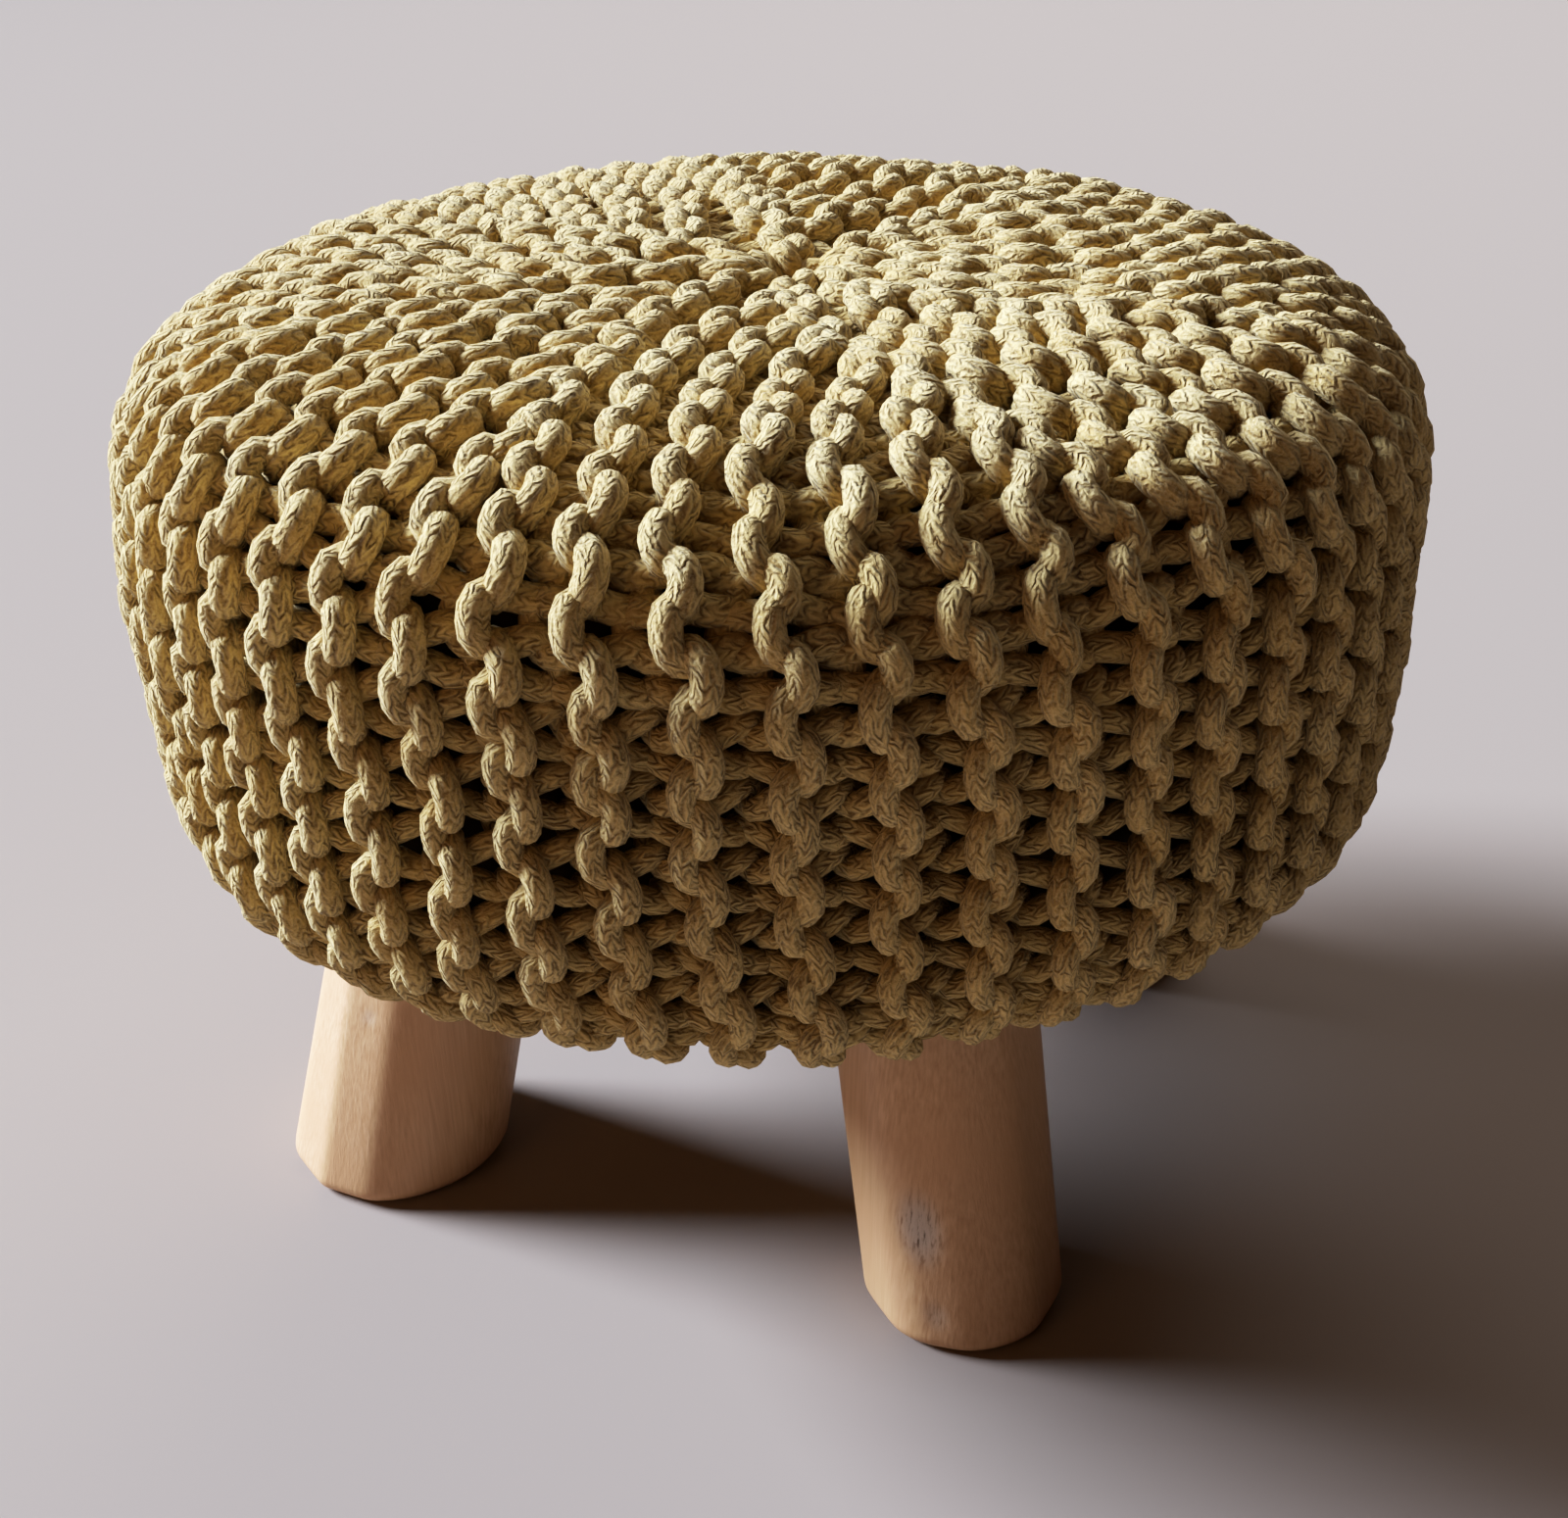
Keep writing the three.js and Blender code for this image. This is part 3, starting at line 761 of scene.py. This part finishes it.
    # Bleached fuzz on the knit's crests, partly painted highlight: the higher a cord lies in the knit, the
    # paler it is.
    crest = add_node(tree, "ShaderNodeAttribute", attribute_name="crest")
    crest_fuzz_and_highlight = add_node(tree, "ShaderNodeMath", {0: crest.outputs["Fac"], 1: fuzz.outputs["Fac"]},
                    operation="MULTIPLY")
    crest_bloom_and_highlight = add_node(tree, "ShaderNodeMapRange",
                     {"Value": crest_fuzz_and_highlight.outputs[0], "From Min": 0.4, "From Max": 0.75, "To Max": 0.45})
    colour = add_node(tree, "ShaderNodeMix", {
        "Factor": crest_bloom_and_highlight.outputs["Result"],
        "A": dyed.outputs["Result"], "B": linear(CORD_COLOURS["crest_bloom_and_highlight"]),
    }, data_type="RGBA")
    shader = add_node(tree, "ShaderNodeBsdfPrincipled", {
        "Base Color": colour.outputs["Result"], "Normal": bump.outputs["Normal"], "Roughness": 0.92,
        "Specular IOR Level": 0.2, "Sheen Weight": 0.35, "Sheen Roughness": 0.5,
        "Sheen Tint": linear(CORD_COLOURS["sheen"]),
    })
    add_node(tree, "ShaderNodeOutputMaterial", {"Surface": shader.outputs["BSDF"]})
    return material


def peeled_wood_material():
    """Peeled and planed softwood, oiled: warm tan with fine grain, satin gloss and grey branch scars."""
    material, tree = new_material("peeled wood")
    place = add_node(tree, "ShaderNodeTexCoord")
    lengthwise = add_node(tree, "ShaderNodeMapping", {
        "Vector": place.outputs["Object"], "Scale": (1 / GRAIN_WIDTH, 1 / GRAIN_WIDTH, 1 / GRAIN_LENGTH),
    })
    grain = add_node(tree, "ShaderNodeTexNoise", {
        "Vector": lengthwise.outputs["Vector"], "Scale": 1.0, "Detail": 4.0, "Roughness": 0.6,
    })
    patch = add_node(tree, "ShaderNodeTexNoise",
                     {"Vector": place.outputs["Object"], "Scale": 1 / WOOD_PATCH, "Detail": 2.0})
    fine = add_node(tree, "ShaderNodeMapRange",
                    {"Value": grain.outputs["Fac"], "From Min": 0.3, "From Max": 0.7})
    wood = add_node(tree, "ShaderNodeMix", {
        "Factor": fine.outputs["Result"],
        "A": linear(WOOD_COLOURS["grain"]), "B": linear(WOOD_COLOURS["wood"]),
    }, data_type="RGBA")
    warm = add_node(tree, "ShaderNodeMapRange",
                    {"Value": patch.outputs["Fac"], "From Min": 0.35, "From Max": 0.7})
    tinted = add_node(tree, "ShaderNodeMix", {
        "Factor": warm.outputs["Result"],
        "A": wood.outputs["Result"], "B": linear(WOOD_COLOURS["patch"]),
    }, data_type="RGBA")
    scar = add_node(tree, "ShaderNodeAttribute", attribute_name="scar")
    streak = add_node(tree, "ShaderNodeMapRange",
                      {"Value": grain.outputs["Fac"], "From Min": 0.34, "From Max": 0.48})
    weathered = add_node(tree, "ShaderNodeMix", {
        "Factor": streak.outputs["Result"],
        "A": linear(WOOD_COLOURS["scar_grain"]), "B": linear(WOOD_COLOURS["scar"]),
    }, data_type="RGBA")
    colour = add_node(tree, "ShaderNodeMix", {
        "Factor": scar.outputs["Fac"],
        "A": tinted.outputs["Result"], "B": weathered.outputs["Result"],
    }, data_type="RGBA")
    bump = add_node(tree, "ShaderNodeBump",
                    {"Height": grain.outputs["Fac"], "Strength": 0.5, "Distance": GRAIN_DEPTH})
    shader = add_node(tree, "ShaderNodeBsdfPrincipled", {
        "Base Color": colour.outputs["Result"], "Normal": bump.outputs["Normal"], "Roughness": 0.48,
        "IOR": 1.5,
    })
    add_node(tree, "ShaderNodeOutputMaterial", {"Surface": shader.outputs["BSDF"]})
    return material


def plain_material(name, colour, roughness):
    """One even colour with hardly any gloss: dull cloth, darkened as painted shade in the gaps, and a
    studio floor without glare.
    """
    material, tree = new_material(name)
    shader = add_node(tree, "ShaderNodeBsdfPrincipled",
                      {"Base Color": linear(colour), "Roughness": roughness, "Specular IOR Level": 0.08})
    add_node(tree, "ShaderNodeOutputMaterial", {"Surface": shader.outputs["BSDF"]})
    return material


def add_soft_light(name, place, size, power, colour):
    """A square soft light at a place, turned towards the pouf."""
    data = bpy.data.lights.new(name, "AREA")
    data.size = size
    data.energy = power
    data.color = linear(colour)[:3]
    lamp = bpy.data.objects.new(name, data)
    lamp.location = place
    lamp.rotation_euler = (Vector(LIGHT_TARGET) - Vector(place)).to_track_quat("-Z", "Y").to_euler()
    bpy.context.scene.collection.objects.link(lamp)


def add_distant_key(azimuth, elevation, strength, angle, colour):
    """A far, wide key light: even over the whole floor, with shadows as soft as its angle makes them."""
    data = bpy.data.lights.new("key", "SUN")
    data.energy = strength
    data.angle = math.radians(angle)
    data.color = linear(colour)[:3]
    turn, rise = math.radians(azimuth), math.radians(elevation)
    towards = Vector((math.cos(turn) * math.cos(rise), math.sin(turn) * math.cos(rise), math.sin(rise)))
    lamp = bpy.data.objects.new("key", data)
    lamp.rotation_euler = (-towards).to_track_quat("-Z", "Y").to_euler()
    bpy.context.scene.collection.objects.link(lamp)


def studio():
    """Plain pale floor and backdrop, a cool soft key from the left and behind, and weak light all round.

    The view's curve runs straight up to the middle tones and then bends over, so that lit cord keeps its
    colour.
    """
    corners = np.array([[-1, -1], [1, -1], [1, 1], [-1, 1]]) * FLOOR_REACH
    floor = mesh_object("floor", np.insert(corners, 2, -FLOOR_DROP, axis=1), np.array([[0, 1, 2, 3]]))
    floor.data.materials.append(plain_material("pale floor", FLOOR_COLOUR, roughness=0.7))
    add_distant_key(**KEY_LIGHT)
    for light in SOFT_LIGHTS:
        add_soft_light(**light)
    world = bpy.data.worlds.new("studio")
    world.use_nodes = True
    tree = world.node_tree
    tree.nodes.clear()
    surround = add_node(tree, "ShaderNodeBackground",
                        {"Color": linear(SURROUND["colour"]), "Strength": SURROUND["strength"]})
    backdrop = add_node(tree, "ShaderNodeBackground", {"Color": linear(BACKDROP_COLOUR)})
    ray = add_node(tree, "ShaderNodeLightPath")
    seen = add_node(tree, "ShaderNodeMixShader", {
        0: ray.outputs["Is Camera Ray"],
        1: surround.outputs["Background"], 2: backdrop.outputs["Background"],
    })
    add_node(tree, "ShaderNodeOutputWorld", {"Surface": seen.outputs["Shader"]})
    bpy.context.scene.world = world
    view = bpy.context.scene.view_settings
    view.view_transform = "Standard"
    view.gamma = VIEW_GAMMA
    view.use_curve_mapping = True
    view.curve_mapping.white_level = (VIEW_WHITE, VIEW_WHITE, VIEW_WHITE)
    tones = view.curve_mapping.curves[3]
    for light, shown in VIEW_CURVE:
        tones.points.new(light / VIEW_WHITE, shown)
    view.curve_mapping.update()


place_camera()
studio()
cotton_cord = cotton_cord_material()
for piece in knitted_cover():
    piece.data.materials.append(cotton_cord)
    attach(piece, "root")
    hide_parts("pouf_body")

casing = stuffed_casing()
# The casing's near-black colour stands in for the shade in the knit's gaps: painted shade.
casing.data.materials.append(plain_material("cotton cloth darkened as painted shade", CASING_COLOUR_AND_GAP_SHADE, roughness=0.95))
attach(casing, "root")
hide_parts("pouf_body")

peeled_wood = peeled_wood_material()
for leg in LEGS:
    log = log_leg(leg)
    log.data.materials.append(peeled_wood)
    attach(log, "root")
    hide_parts(leg["name"])
